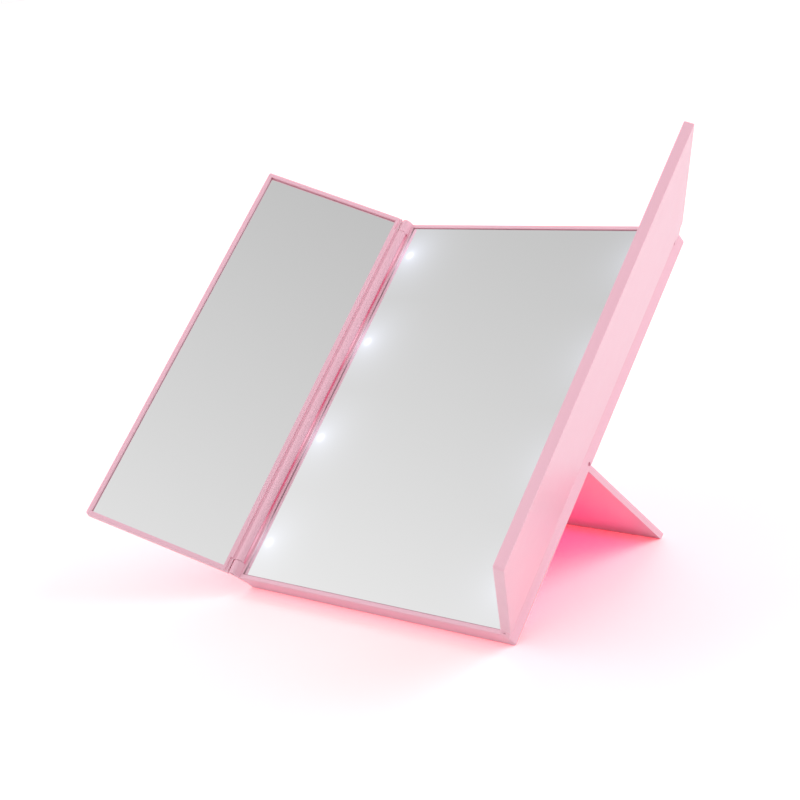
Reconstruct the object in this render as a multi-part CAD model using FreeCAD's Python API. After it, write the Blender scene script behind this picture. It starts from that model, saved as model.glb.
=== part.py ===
# Trifold vanity mirror: a lit centre panel with two hinged wing mirrors and a fold-out stand.
#
# Every piece is modelled with the panel upright, in panel coordinates:
#   x  to the viewer's right, from the panel's middle
#   v  up the panel, from its lower edge
#   d  forward, from the panel's rear face
# The whole mirror is then leaned back until the stand's foot and the panel's rear lower edge
# both lie on the table. In the finished frame +Z is up, -Y is towards the viewer, and the
# origin is the middle of the narrow flat on which the panel's rear lower edge rests.
import FreeCAD, Part
import math
import os

from FreeCAD import Placement, Rotation, Vector

# ---------------------------------------------------------------- centre panel
panel_width = 140.0
panel_height = 184.0
panel_depth = 10.0
outline_radius = 1.0            # the outline's four corners, on the panel and the wings
side_wall = 1.7                 # the housing's wall, which is also the rim round the glass
deck_thickness = 1.2            # inner deck that carries the centre glass
edge_rounding = 0.3             # small round on the outer edges of the mouldings
resting_flat = 1.0              # width of the flat along the panel's rear lower edge
lug_root = 0.5            # how far a lug's root runs into the housing's wall

# ---------------------------------------------------------------- glass
glass_thickness = 1.5
glass_recess = 0.9              # the glass lies this far behind the rims
glass_gap = 0.15                # between the glass's edge and its rim
tape_thickness = 0.3            # double-sided tape behind each glass
tape_inset = 3.0                # from the glass's edge to the tape's edge

# ---------------------------------------------------------------- rear cover and its screws
cover_thickness = 1.6
cover_gap = 0.15                # parting line between the cover and the housing's walls
recess_floor_thickness = 1.3    # the cover's floor behind the folded stand
boss_radius = 2.4
screw_shank_radius = 0.9
screw_head_radius = 1.9
screw_head_height = 0.95
screw_slot_length = 2.3
screw_slot_width = 0.45
screw_slot_depth = 0.5
screw_hole_gap = 0.05           # round the shank in its boss
screw_head_gap = 0.1            # round the head in its countersink
cover_screw_length = 5.4
recess_screw_length = 3.2
screw_side_inset = 20.0         # from the panel's sides
upper_screw_inset = 7.0         # from the panel's top edge
middle_screw_rise = 8.0         # above the stand's recess
lower_screw_inset = 9.0         # from the panel's lower edge

# ---------------------------------------------------------------- stand
pivot_height = 77.0
pivot_depth = 1.6               # the pivot lies this far in from the panel's rear face
leg_end_rise = 9.0              # from the panel's lower edge to the folded leg's end
leg_thickness = 2.8
leg_side_gap = 0.4              # between the leg and the housing's side walls
leg_recess_gap = 0.3            # between the folded leg and the recess floor
leg_stop_gap = 0.05             # between the open leg and the edge that stops it
stand_open_angle = 94.0         # from folded flat
stand_pin_radius = 0.8
stand_pin_gap = 0.06            # running clearance of the pin in the housing's wall
stand_pin_reach = 6.0           # length of the pin inside the leg
stand_pin_sink = 0.5            # the pin's end lies this far inside the panel's side
leg_grip_width = 24.0           # thumb cut in the leg's free end
leg_grip_depth = 1.2

# ---------------------------------------------------------------- wing hinges
hinge_outset = 1.7              # hinge axis beyond the panel's side
hinge_forward = 1.8             # hinge axis ahead of the panel's front
barrel_radius = 2.0
ear_height = 6.0                # each hinge ear, at the panel's top and bottom
ear_gap = 0.3                   # between an ear and the wing's barrel
ear_root_depth = 5.0            # where an ear springs from the panel's side
ear_slope = 30.0                # the ear's rear face meets its round here, below level
hinge_pin_radius = 0.75
hinge_pin_gap = 0.05            # running clearance of the pin in the barrel
hinge_pin_reach = 5.0           # length of the pin inside the barrel
hinge_pin_end_gap = 0.5         # the pin's bore runs on past its end
hinge_pin_sink = 0.5            # the pin's end lies this far inside the ear
hinge_shelf_reach = 2.0         # shelf along the panel's side, which closes the view past the barrel
hinge_shelf_thickness = 0.6     # at its edge
hinge_shelf_gap = 0.4           # between the shelf and the barrel

# ---------------------------------------------------------------- wings
wing_thickness = 4.0
wing_closed_gap = 0.3           # between a closed wing and the panel's rims
wings_meeting_gap = 2.4         # between the two closed wings
wing_rim = 1.6                  # rim round the glass, away from the hinge
neck_end = 2.8                  # the neck beside the barrel ends here, from the hinge axis
neck_step = 0.7                 # the neck lies this far behind the rim
hinge_rim = 2.2                 # rim between the neck and the glass
ear_side_gap = 0.4              # between an ear and the wing's corner beside it
rim_notch = 3.7                 # beside the ears the rim starts this far from the hinge axis
left_wing_angle = 148.5         # opening from closed, as the mirror stands
right_wing_angle = 119.0

# ---------------------------------------------------------------- lights
light_side_inset = 7.1          # from the panel's side to the middle of a light
light_bottom_inset = 18.5       # from the panel's lower edge to the lowest light
light_top_inset = 16.1          # from the panel's top edge to the highest light
light_count = 4                 # on each side, evenly spaced
light_window_radius = 3.0       # window through the deck
diffuser_thickness = 0.4
diffuser_gap = 0.05             # round a diffuser in its window
board_width = 5.0
board_thickness = 1.0
board_margin = 8.0              # board beyond the end lights
led_length = 3.5
led_width = 2.8
led_height = 0.7
resistor_length = 2.0
resistor_width = 1.2
resistor_height = 0.35
resistor_offset = 7.0           # from the end light to the resistor

# ---------------------------------------------------------------- battery bay
cell_radius = 10.0              # CR2032 coin cells, side by side
cell_height = 3.2
cells_apart = 3.0               # between the cells' edges
bay_rise = 37.4                 # from the stand's recess to the bay's middle
bay_gap = 1.0                   # between the cells and the bay's walls
bay_wall = 1.2
cell_cap_height = 0.3           # the cell's minus cap stands out of its can
cell_cap_inset = 1.2            # and is smaller all round
contact_thickness = 0.25
contact_width = 5.0
contact_slot_gap = 0.1          # round a contact in the bay's wall
minus_contact_drop = 6.0        # the minus strip lies this far below the bay's middle
plus_contact_rise = 3.0         # the plus clip lies this far above the bay's middle
plus_contact_gap = 0.02         # between the plus clip and each cell
plus_leaf_sink = 0.6            # the clip's leaves stop this far short of the cells' rear faces
contact_tab = 1.6               # tab outside the bay, where a wire is soldered
door_thickness = 1.5
door_gap = 0.15                 # parting line round the door
door_seat_gap = 0.05            # between the door and the ledge that it lies on
door_corner = 0.4
door_lap = 1.6                  # the door laps over the bay's walls by this much
door_screw_room = 8.5           # the door's length beyond the bay, for its screw
door_screw_length = 4.6
tongue_inset = 0.4              # tongues that locate the door, from its end
tongue_length = 1.0
tongue_width = 5.0
tongue_depth = 1.1
tongue_gap = 0.15
grip_groove_count = 4           # grooves for a finger on the door
grip_groove_start = 3.0         # from the door's end
grip_groove_pitch = 1.6
grip_groove_width = 0.8
grip_groove_length = 12.0
grip_groove_depth = 0.35

# ---------------------------------------------------------------- push switch
switch_side_inset = 24.0        # from the panel's right side to the switch's middle
switch_top_inset = 24.0         # from the panel's top edge
button_radius = 4.5
button_gap = 0.3
button_proud = 0.6              # the button stands out of the rear cover
button_travel = 0.8
button_flange = 1.0             # flange that keeps the button in its hole
button_flange_thickness = 0.6
button_seat_gap = 0.1           # between the flange and the cover
button_dish_radius = 30.0       # the button's face is slightly hollow
button_dish_depth = 0.25
stem_radius = 1.5
stem_gap = 0.1
stem_grip = 0.5                 # the stem reaches this far into the switch at rest
switch_size = 8.0
switch_depth = 2.6
switch_floor = 0.5              # the switch's wall behind the stem's bore
switch_corner = 0.5
switch_lead_radius = 0.3
switch_lead_length = 1.5

# ---------------------------------------------------------------- wires
wire_radius = 0.5
wire_bend = 3.0
wire_gap = 0.6                  # from the link wires to the upper bosses
link_wire_pitch = 3.0

# ---------------------------------------------------------------- places worked out from these
half_width = panel_width / 2
glass_front = panel_depth - glass_recess
glass_back = glass_front - glass_thickness
deck_front = glass_back - tape_thickness
deck_back = deck_front - deck_thickness
inner_half_width = half_width - side_wall
cover_half_width = inner_half_width - cover_gap

leg_length = pivot_height - leg_end_rise
leg_half_width = inner_half_width - leg_side_gap
leg_back = pivot_depth - leg_thickness / 2
recess_floor_back = pivot_depth + leg_thickness / 2 + leg_recess_gap
recess_floor_front = recess_floor_back + recess_floor_thickness
open_turn = math.radians(stand_open_angle)
recess_top = pivot_height + (
    leg_thickness / 2 + leg_stop_gap - pivot_depth * math.cos(open_turn)
) / math.sin(open_turn)

hinge_x = half_width + hinge_outset
hinge_d = panel_depth + hinge_forward
wing_inner = wing_closed_gap - hinge_forward
wing_outer = wing_inner + wing_thickness
wing_end = hinge_x - wings_meeting_gap / 2
wing_glass_start = neck_end + hinge_rim
wing_glass_inner = wing_inner + glass_recess
wing_glass_outer = wing_glass_inner + glass_thickness

light_x = half_width - light_side_inset
light_pitch = (panel_height - light_bottom_inset - light_top_inset) / (light_count - 1)
light_heights = [light_bottom_inset + light_pitch * i for i in range(light_count)]
board_front = deck_back
board_back = board_front - board_thickness
wire_depth = board_back - wire_radius

# The cells' minus caps lie level with the boards' backs, so that one layer of wires serves both.
bay_height = recess_top + bay_rise
cell_x = cell_radius + cells_apart / 2
cell_front = board_back
cell_back = cell_front - cell_height
minus_contact_v = bay_height - minus_contact_drop
plus_contact_v = bay_height + plus_contact_rise
plus_half_width = cells_apart / 2 - plus_contact_gap
bay_floor_back = cell_front + contact_thickness
bay_half_width = cell_x + cell_radius + bay_gap
bay_half_height = cell_radius + bay_gap
bay_outer_half_width = bay_half_width + bay_wall
bay_outer_half_height = bay_half_height + bay_wall
door_left = -bay_half_width - door_lap
door_right = bay_half_width + door_screw_room
door_half_height = bay_half_height + door_lap
tongue_left = door_left + tongue_inset
door_screw_x = bay_outer_half_width + (door_right - bay_outer_half_width) / 2

switch_side = half_width - switch_side_inset
switch_height = panel_height - switch_top_inset
switch_back = deck_back - switch_depth

# How far the mirror leans back: the open leg's lower corner and the panel's rear lower edge
# lie on one level.
foot_v = pivot_height - leg_length * math.cos(open_turn) - leg_thickness / 2 * math.sin(open_turn)
foot_d = pivot_depth - leg_length * math.sin(open_turn) + leg_thickness / 2 * math.cos(open_turn)
lean = math.atan2(foot_v, -foot_d)
table_rise = resting_flat * math.sin(lean) * math.cos(lean)
flat_middle = table_rise * (math.tan(lean) - 1 / math.tan(lean)) / 2


# ---------------------------------------------------------------- shape helpers
flat_limit = 0.01               # an edge that spans less than this in a direction is flat in it


def place(x, v, d):
    """The point at panel coordinates x, v, d."""
    return Vector(x, -d, v)


def block(x0, x1, v0, v1, d0, d1):
    """A box between two values of each panel coordinate."""
    return Part.makeBox(x1 - x0, d1 - d0, v1 - v0, place(x0, v0, d1))


def plate(x0, x1, v0, v1, d0, d1, corner):
    """A box whose outline, seen from the front, has rounded corners."""
    solid = block(x0, x1, v0, v1, d0, d1)
    corners = [e for e in solid.Edges if e.BoundBox.YLength > flat_limit]
    return solid.makeFillet(corner, corners)


def disc(x, v, d0, d1, radius):
    """A round bar that runs forward from d0 to d1."""
    return Part.makeCylinder(radius, d1 - d0, place(x, v, d1), Vector(0, 1, 0))


def upright_rod(x, d, v0, v1, radius):
    """A round bar that runs up the panel."""
    return Part.makeCylinder(radius, v1 - v0, place(x, v0, d), Vector(0, 0, 1))


def crosswise_rod(v, d, x0, x1, radius):
    """A round bar that runs across the panel."""
    return Part.makeCylinder(radius, x1 - x0, place(x0, v, d), Vector(1, 0, 0))


def extruded_up(outline, v0, v1):
    """A column from v0 to v1 over an outline of (x, d) points."""
    corners = [place(x, v0, d) for x, d in outline]
    face = Part.Face(Part.makePolygon(corners + corners[:1]))
    return face.extrude(Vector(0, 0, v1 - v0))


def joined(first, *others):
    """One solid out of pieces that meet, with no seams left on it."""
    return first.fuse(list(others)).removeSplitter()


def mirrored(shape):
    """The same piece on the panel's other side."""
    return shape.mirror(Vector(0, 0, 0), Vector(1, 0, 0))


def on_both_sides(shape):
    return [mirrored(shape), shape]


def softened(solid, is_outer_edge):
    """The solid with a small round along the edges that is_outer_edge picks."""
    edges = [e for e in solid.Edges if is_outer_edge(e.BoundBox)]
    return solid.makeFillet(edge_rounding, edges)


def wire_tube(points):
    """A round wire along straight runs joined by arcs."""
    last = len(points) - 1
    run_start = points[0]
    edges = []
    for i in range(1, last):
        before = (points[i - 1] - points[i]).normalize()
        after = (points[i + 1] - points[i]).normalize()
        turn = math.pi - before.getAngle(after)
        setback = wire_bend * math.tan(turn / 2)
        middle = (before + after).normalize()
        arc_start = points[i] + before * setback
        arc_end = points[i] + after * setback
        arc_middle = points[i] + middle * (wire_bend / math.cos(turn / 2) - wire_bend)
        edges.append(Part.LineSegment(run_start, arc_start).toShape())
        edges.append(Part.Arc(arc_start, arc_middle, arc_end).toShape())
        run_start = arc_end
    edges.append(Part.LineSegment(run_start, points[last]).toShape())
    circle = Part.makeCircle(wire_radius, points[0], points[1] - points[0])
    return Part.Wire(edges).makePipeShell([Part.Wire([circle])], True, True)


# ---------------------------------------------------------------- screws
def countersunk_screw(x, v, d, length):
    """A cross-head screw with its head's flat face at depth d, driven forward."""
    head = Part.makeCone(
        screw_shank_radius, screw_head_radius, screw_head_height,
        place(x, v, d + screw_head_height), Vector(0, 1, 0),
    )
    shank = disc(x, v, d + screw_head_height, d + length, screw_shank_radius)
    arm = screw_slot_length / 2
    half_slot = screw_slot_width / 2
    slot_end = d + screw_slot_depth
    across = block(x - arm, x + arm, v - half_slot, v + half_slot, d, slot_end)
    upright = block(x - half_slot, x + half_slot, v - arm, v + arm, d, slot_end)
    return joined(head, shank).cut([across, upright])


def countersunk_hole(x, v, d, length):
    """The room that a countersunk screw takes, open towards the back."""
    head = Part.makeCone(
        screw_shank_radius + screw_head_gap, screw_head_radius + screw_head_gap, screw_head_height,
        place(x, v, d + screw_head_height), Vector(0, 1, 0),
    )
    mouth = disc(x, v, d - screw_head_gap, d, screw_head_radius + screw_head_gap)
    shank_radius = screw_shank_radius + screw_hole_gap
    shank = disc(x, v, d + screw_head_height, d + length + screw_head_gap, shank_radius)
    return joined(head, mouth, shank)


def cover_screw_places():
    """(x, v, d of the head's face, length) of each screw in the rear cover."""
    sunk = screw_head_gap
    rows = [
        (panel_height - upper_screw_inset, sunk, cover_screw_length),
        (recess_top + middle_screw_rise, sunk, cover_screw_length),
        (lower_screw_inset, recess_floor_back + sunk, recess_screw_length),
    ]
    x = half_width - screw_side_inset
    return [(side * x, v, d, length) for v, d, length in rows for side in (-1, 1)]


def case_screws():
    return Part.Compound([countersunk_screw(*spot) for spot in cover_screw_places()])


# ---------------------------------------------------------------- centre panel's mouldings
def hinge_ear(v0, v1):
    """A lug from the panel's right side that holds one end of the hinge."""
    across = barrel_radius * math.cos(math.radians(ear_slope))
    along = barrel_radius * math.sin(math.radians(ear_slope))
    web = extruded_up(
        [
            (half_width - lug_root, panel_depth),
            (half_width - lug_root, ear_root_depth),
            (half_width, ear_root_depth),
            (hinge_x + across, hinge_d - along),
            (hinge_x, hinge_d),
            (hinge_x - across, hinge_d + along),
        ],
        v0, v1,
    )
    return joined(web, upright_rod(hinge_x, hinge_d, v0, v1, barrel_radius))


def ear_spans():
    return [(0.0, ear_height), (panel_height - ear_height, panel_height)]


def hinge_shelf():
    """The narrow shelf between the two ears on the right side, under the wing's barrel."""
    top = hinge_d - barrel_radius - hinge_shelf_gap
    return extruded_up(
        [
            (half_width - lug_root, top),
            (half_width - lug_root, top - hinge_shelf_reach),
            (half_width, top - hinge_shelf_reach),
            (half_width + hinge_shelf_reach, top - hinge_shelf_thickness),
            (half_width + hinge_shelf_reach, top),
        ],
        ear_height, panel_height - ear_height,
    )


def below_the_table():
    """Everything that would reach lower than the table, in upright panel coordinates."""
    reach = panel_height * 2
    slab = Part.makeBox(reach, reach, reach, Vector(-reach / 2, -reach / 2, -reach))
    slab.Placement = lean_placement().inverse().multiply(slab.Placement)
    return slab


def lean_placement():
    """From upright panel coordinates to the finished frame."""
    turned = Placement(Vector(0, 0, 0), Rotation(Vector(1, 0, 0), -math.degrees(lean)))
    settled = Placement(Vector(0, -flat_middle, -table_rise), Rotation())
    return settled.multiply(turned)


def front_housing():
    """Side walls, the rim round the glass, the deck behind it, screw bosses and hinge ears."""
    shell = plate(-half_width, half_width, 0, panel_height, 0, panel_depth, outline_radius)
    shell = softened(shell, lambda box: box.YLength < flat_limit)
    glass_well = block(
        -inner_half_width, inner_half_width, side_wall, panel_height - side_wall,
        deck_front, panel_depth + 1,
    )
    back_well = block(
        -inner_half_width, inner_half_width, side_wall, panel_height - side_wall,
        -1, deck_back,
    )
    housing = shell.cut([glass_well, back_well])
    bosses = []
    for x, v, d, length in cover_screw_places():
        seat = cover_thickness if d < recess_floor_back else recess_floor_front
        bosses.append(disc(x, v, seat, deck_back, boss_radius))
    ears = [ear for v0, v1 in ear_spans() for ear in on_both_sides(hinge_ear(v0, v1))]
    housing = joined(housing, *bosses, *ears, *on_both_sides(hinge_shelf()))
    windows = [
        disc(side * light_x, v, deck_back - 1, deck_front + 1, light_window_radius)
        for v in light_heights for side in (-1, 1)
    ]
    screw_holes = [countersunk_hole(*spot) for spot in cover_screw_places()]
    pin_holes = []
    for v0, v1 in ear_spans():
        hole = upright_rod(hinge_x, hinge_d, v0 - 1, v1 + 1, hinge_pin_radius)
        pin_holes += on_both_sides(hole)
    stand_hole = crosswise_rod(
        pivot_height, pivot_depth, inner_half_width - 1, half_width + 1,
        stand_pin_radius + stand_pin_gap,
    )
    cuts = windows + screw_holes + pin_holes + on_both_sides(stand_hole) + [below_the_table()]
    return housing.cut(cuts)


def door_opening():
    """The recess that the battery door closes, with its tongues' slots and its screw's room."""
    leaf = block(
        door_left - door_gap, door_right + door_gap,
        bay_height - door_half_height - door_gap, bay_height + door_half_height + door_gap,
        -1, door_thickness + door_seat_gap,
    )
    slots = [
        block(
            tongue_left - tongue_gap, tongue_left + tongue_length + tongue_gap,
            v - tongue_width / 2 - tongue_gap, v + tongue_width / 2 + tongue_gap,
            0, door_thickness + tongue_depth + tongue_gap,
        )
        for v in tongue_heights()
    ]
    return joined(leaf, *slots)


def tongue_heights():
    return [bay_height + side * door_half_height / 2 for side in (-1, 1)]


def rear_cover():
    """The back of the case: a plate with the battery bay, and a sunk floor behind the stand."""
    low = side_wall + cover_gap
    high = panel_height - side_wall - cover_gap
    top_plate = block(-cover_half_width, cover_half_width, recess_top, high, 0, cover_thickness)
    step = block(
        -cover_half_width, cover_half_width,
        recess_top, recess_top + recess_floor_thickness, 0, recess_floor_front,
    )
    floor = block(
        -cover_half_width, cover_half_width,
        low, recess_top + recess_floor_thickness, recess_floor_back, recess_floor_front,
    )
    bay_body = block(
        -bay_outer_half_width, bay_outer_half_width,
        bay_height - bay_outer_half_height, bay_height + bay_outer_half_height,
        0, deck_back,
    )
    door_ledge = block(
        door_left - door_gap - bay_wall, door_right + door_gap + bay_wall,
        bay_height - door_half_height - door_gap - bay_wall,
        bay_height + door_half_height + door_gap + bay_wall,
        0, door_thickness + bay_wall,
    )
    screw_post = disc(door_screw_x, bay_height, 0, deck_back, boss_radius)
    cover = joined(top_plate, step, floor, bay_body, door_ledge, screw_post)
    bay = block(
        -bay_half_width, bay_half_width,
        bay_height - bay_half_height, bay_height + bay_half_height, -1, bay_floor_back,
    )
    half_minus_slot = contact_width / 2 + contact_slot_gap
    minus_slot = block(
        -bay_outer_half_width - 1, -bay_half_width + 1,
        minus_contact_v - half_minus_slot, minus_contact_v + half_minus_slot,
        cell_front, bay_floor_back,
    )
    half_plus_slot = plus_half_width + contact_slot_gap
    plus_slot = block(
        -half_plus_slot, half_plus_slot,
        bay_height + bay_half_height - 1, bay_height + bay_outer_half_height + 1,
        cell_front, bay_floor_back,
    )
    button_hole = disc(
        switch_side, switch_height, -1, cover_thickness + 1, button_radius + button_gap
    )
    screw_holes = [countersunk_hole(*spot) for spot in cover_screw_places()]
    door_screw_hole = countersunk_hole(
        door_screw_x, bay_height, screw_head_gap, door_screw_length
    )
    return cover.cut(
        [bay, door_opening(), minus_slot, plus_slot, button_hole, door_screw_hole, *screw_holes]
    )


# ---------------------------------------------------------------- centre glass and lights
def centre_glass():
    return plate(
        -inner_half_width + glass_gap, inner_half_width - glass_gap,
        side_wall + glass_gap, panel_height - side_wall - glass_gap,
        glass_back, glass_front, outline_radius / 2,
    )


def centre_tape():
    """The sheet that holds the centre glass to the deck, with a hole over each light."""
    inset = glass_gap + tape_inset
    sheet = block(
        -inner_half_width + inset, inner_half_width - inset,
        side_wall + inset, panel_height - side_wall - inset, deck_front, glass_back,
    )
    holes = [
        disc(side * light_x, v, deck_front - 1, glass_back + 1, light_window_radius)
        for v in light_heights for side in (-1, 1)
    ]
    return sheet.cut(holes)


def light_diffusers():
    """Frosted discs in the deck's windows on the right side."""
    radius = light_window_radius - diffuser_gap
    return Part.Compound([
        disc(light_x, v, deck_front - diffuser_thickness, deck_front, radius)
        for v in light_heights
    ])


def led_board():
    half = board_width / 2
    return block(
        light_x - half, light_x + half,
        light_heights[0] - board_margin, light_heights[-1] + board_margin,
        board_back, board_front,
    )


def leds():
    return Part.Compound([
        block(
            light_x - led_width / 2, light_x + led_width / 2,
            v - led_length / 2, v + led_length / 2, board_front, board_front + led_height,
        )
        for v in light_heights
    ])


def led_resistors():
    """One small resistor on the back of each board."""
    v = light_heights[0] + resistor_offset
    resistor = block(
        light_x - resistor_width / 2, light_x + resistor_width / 2,
        v - resistor_length / 2, v + resistor_length / 2,
        board_back - resistor_height, board_back,
    )
    return Part.Compound(on_both_sides(resistor))


# ---------------------------------------------------------------- battery bay
def coin_cell():
    """The right-hand cell: a can with a slightly smaller minus cap on its front."""
    can = disc(cell_x, bay_height, cell_back, cell_front - cell_cap_height, cell_radius)
    cap = disc(
        cell_x, bay_height, cell_front - cell_cap_height, cell_front, cell_radius - cell_cap_inset
    )
    return joined(can, cap)


def minus_contact():
    """A strip under both cells that runs out through the bay's left wall."""
    return block(
        -bay_outer_half_width - contact_tab, cell_x + cell_radius / 2,
        minus_contact_v - contact_width / 2, minus_contact_v + contact_width / 2,
        cell_front, bay_floor_back,
    )


def plus_contact():
    """A folded clip between the cells that runs out through the bay's top wall."""
    half = plus_half_width
    low = plus_contact_v - contact_width / 2
    strip = block(
        -half, half, low, bay_height + bay_outer_half_height + contact_tab,
        cell_front, bay_floor_back,
    )
    leaf = block(
        half - contact_thickness, half, low, low + contact_width,
        cell_back + plus_leaf_sink, bay_floor_back,
    )
    return joined(strip, *on_both_sides(leaf))


def battery_door():
    """The door with its locating tongues and the countersunk hole for its screw."""
    leaf = plate(
        door_left, door_right, bay_height - door_half_height, bay_height + door_half_height,
        0, door_thickness, door_corner,
    )
    tongues = [
        block(
            tongue_left, tongue_left + tongue_length,
            v - tongue_width / 2, v + tongue_width / 2,
            door_thickness / 2, door_thickness + tongue_depth,
        )
        for v in tongue_heights()
    ]
    groove_starts = [
        door_left + grip_groove_start + grip_groove_pitch * i for i in range(grip_groove_count)
    ]
    grooves = [
        block(
            x, x + grip_groove_width,
            bay_height - grip_groove_length / 2, bay_height + grip_groove_length / 2,
            -1, grip_groove_depth,
        )
        for x in groove_starts
    ]
    hole = countersunk_hole(door_screw_x, bay_height, screw_head_gap, door_thickness)
    return joined(leaf, *tongues).cut([hole, *grooves])


def battery_door_screw():
    return countersunk_screw(door_screw_x, bay_height, screw_head_gap, door_screw_length)


# ---------------------------------------------------------------- push switch
def switch_body():
    """The switch on the deck's back, with the bore that takes the button's stem."""
    half = switch_size / 2
    body = plate(
        switch_side - half, switch_side + half, switch_height - half, switch_height + half,
        switch_back, deck_back, switch_corner,
    )
    bore = disc(
        switch_side, switch_height, switch_back - 1, deck_back - switch_floor,
        stem_radius + stem_gap,
    )
    return body.cut(bore)


def switch_leads():
    """Two short leads that stand out of the switch's lower side."""
    low = switch_height - switch_size / 2
    return Part.Compound([
        upright_rod(lead_x(side), wire_depth, low - switch_lead_length, low, switch_lead_radius)
        for side in (-1, 1)
    ])


def lead_x(side):
    return switch_side + side * switch_size / 4


def power_button():
    """The button: a cap with a dished face, a flange inside the cover, and a stem."""
    flange_back = cover_thickness + button_seat_gap
    flange_front = flange_back + button_flange_thickness
    stem_front = switch_back + stem_grip
    cap = disc(switch_side, switch_height, -button_proud, flange_back, button_radius)
    rim = [e for e in cap.Edges if e.BoundBox.YMin > button_proud - flat_limit]
    cap = cap.makeFillet(edge_rounding, rim)
    flange = disc(
        switch_side, switch_height, flange_back, flange_front,
        button_radius + button_gap + button_flange,
    )
    stem = disc(switch_side, switch_height, flange_front, stem_front, stem_radius)
    dish_middle = button_dish_depth - button_proud - button_dish_radius
    dish = Part.makeSphere(
        button_dish_radius, place(switch_side, switch_height, dish_middle)
    )
    return joined(cap, flange, stem).cut(dish)


# ---------------------------------------------------------------- wires
def lead_end(side):
    """Where a wire meets one of the switch's leads."""
    return place(lead_x(side), switch_height - switch_size / 2 - switch_lead_length, wire_depth)


def plus_wire():
    """From the plus contact's tab to the switch."""
    start = place(0, bay_height + bay_outer_half_height + contact_tab / 2, wire_depth)
    end = lead_end(-1)
    turn_v = (start.z + end.z) / 2
    return wire_tube([start, place(0, turn_v, wire_depth), place(end.x, turn_v, wire_depth), end])


def switched_wire():
    """From the switch to the right board's back."""
    start = lead_end(1)
    turn_v = start.z - 2 * wire_bend
    corner = place(start.x, turn_v, wire_depth)
    return wire_tube([start, corner, place(light_x, turn_v, wire_depth)])


def minus_wire():
    """From the minus contact's tab to the left board's back."""
    start_x = -bay_outer_half_width - contact_tab / 2
    turn_x = (start_x - light_x) / 2
    end_v = minus_contact_v + 3 * wire_bend
    return wire_tube([
        place(start_x, minus_contact_v, wire_depth),
        place(turn_x, minus_contact_v, wire_depth),
        place(turn_x, end_v, wire_depth),
        place(-light_x, end_v, wire_depth),
    ])


def link_wires():
    """Two wires between the boards' upper ends, below the upper bosses."""
    top = panel_height - upper_screw_inset - boss_radius - wire_gap - wire_radius
    return Part.Compound([
        crosswise_rod(top - link_wire_pitch * i, wire_depth, -light_x, light_x, wire_radius)
        for i in (0, 1)
    ])


# ---------------------------------------------------------------- stand
def stand_leg():
    """The folded leg: a plate with a round at its pivot and a thumb cut at its free end."""
    end = pivot_height - leg_length
    leg_front = leg_back + leg_thickness
    body = block(-leg_half_width, leg_half_width, end, pivot_height, leg_back, leg_front)
    knuckle = crosswise_rod(
        pivot_height, pivot_depth, -leg_half_width, leg_half_width, leg_thickness / 2
    )
    half_grip = leg_grip_width / 2
    grip = block(-half_grip, half_grip, end - 1, end + leg_grip_depth, leg_back - 1, leg_front + 1)
    pin_hole = crosswise_rod(
        pivot_height, pivot_depth, leg_half_width - stand_pin_reach, leg_half_width + 1,
        stand_pin_radius,
    )
    return joined(body, knuckle).cut([grip] + on_both_sides(pin_hole))


def stand_pin():
    """The right-hand pivot pin, pressed into the leg."""
    return crosswise_rod(
        pivot_height, pivot_depth, leg_half_width - stand_pin_reach,
        half_width - stand_pin_sink, stand_pin_radius,
    )


def stand_opening():
    """Turns the folded stand to its open place."""
    return Placement(
        Vector(0, 0, 0), Rotation(Vector(1, 0, 0), stand_open_angle),
        place(0, pivot_height, pivot_depth),
    )


# ---------------------------------------------------------------- wings
def wing_block(a0, a1, v0, v1, b0, b1):
    """A box on the closed right wing: a from the hinge axis towards the panel's middle, and b
    forward from the hinge axis."""
    return block(hinge_x - a1, hinge_x - a0, v0, v1, hinge_d + b0, hinge_d + b1)


def wing_shell():
    """The right wing, closed: a tray for its glass, with the hinge's barrel along its edge."""
    tray = plate(
        hinge_x - wing_end, hinge_x - neck_end, 0, panel_height,
        hinge_d + wing_inner, hinge_d + wing_outer, outline_radius,
    )
    square_end = wing_block(
        neck_end, neck_end + outline_radius * 2, 0, panel_height, wing_inner, wing_outer
    )
    tray = softened(
        joined(tray, square_end),
        lambda box: box.YLength < flat_limit and box.XMax < hinge_x - neck_end - flat_limit,
    )
    neck = extruded_up(
        [
            (hinge_x, hinge_d + barrel_radius),
            (hinge_x - barrel_radius, hinge_d + wing_outer),
            (hinge_x - neck_end, hinge_d + wing_outer),
            (hinge_x - neck_end, hinge_d + wing_inner + neck_step),
            (hinge_x, hinge_d + wing_inner + neck_step),
        ],
        0, panel_height,
    )
    barrel = upright_rod(hinge_x, hinge_d, 0, panel_height, barrel_radius)
    shell = joined(tray, neck, barrel)
    glass_well = wing_block(
        wing_glass_start, wing_end - wing_rim, wing_rim, panel_height - wing_rim,
        wing_inner - 1, wing_glass_outer + tape_thickness,
    )
    notches = []
    for v0, v1 in ear_spans():
        low, high = v0 - ear_gap, v1 + ear_gap
        beside_ear = barrel_radius + ear_side_gap
        rim_level = wing_inner + neck_step
        notches += [
            wing_block(-barrel_radius - 1, beside_ear, low, high, wing_inner - 1, wing_outer + 1),
            wing_block(beside_ear, rim_notch, low, high, wing_inner - 1, rim_level),
        ]
    bore_end = ear_height + ear_gap + hinge_pin_reach + hinge_pin_end_gap
    bores = [
        upright_rod(hinge_x, hinge_d, v0, v0 + bore_end, hinge_pin_radius + hinge_pin_gap)
        for v0 in (0, panel_height - bore_end)
    ]
    return shell.cut([glass_well, *notches, *bores])


def wing_glass():
    return plate(
        hinge_x - wing_end + wing_rim + glass_gap, hinge_x - wing_glass_start - glass_gap,
        wing_rim + glass_gap, panel_height - wing_rim - glass_gap,
        hinge_d + wing_glass_inner, hinge_d + wing_glass_outer, outline_radius / 2,
    )


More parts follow.
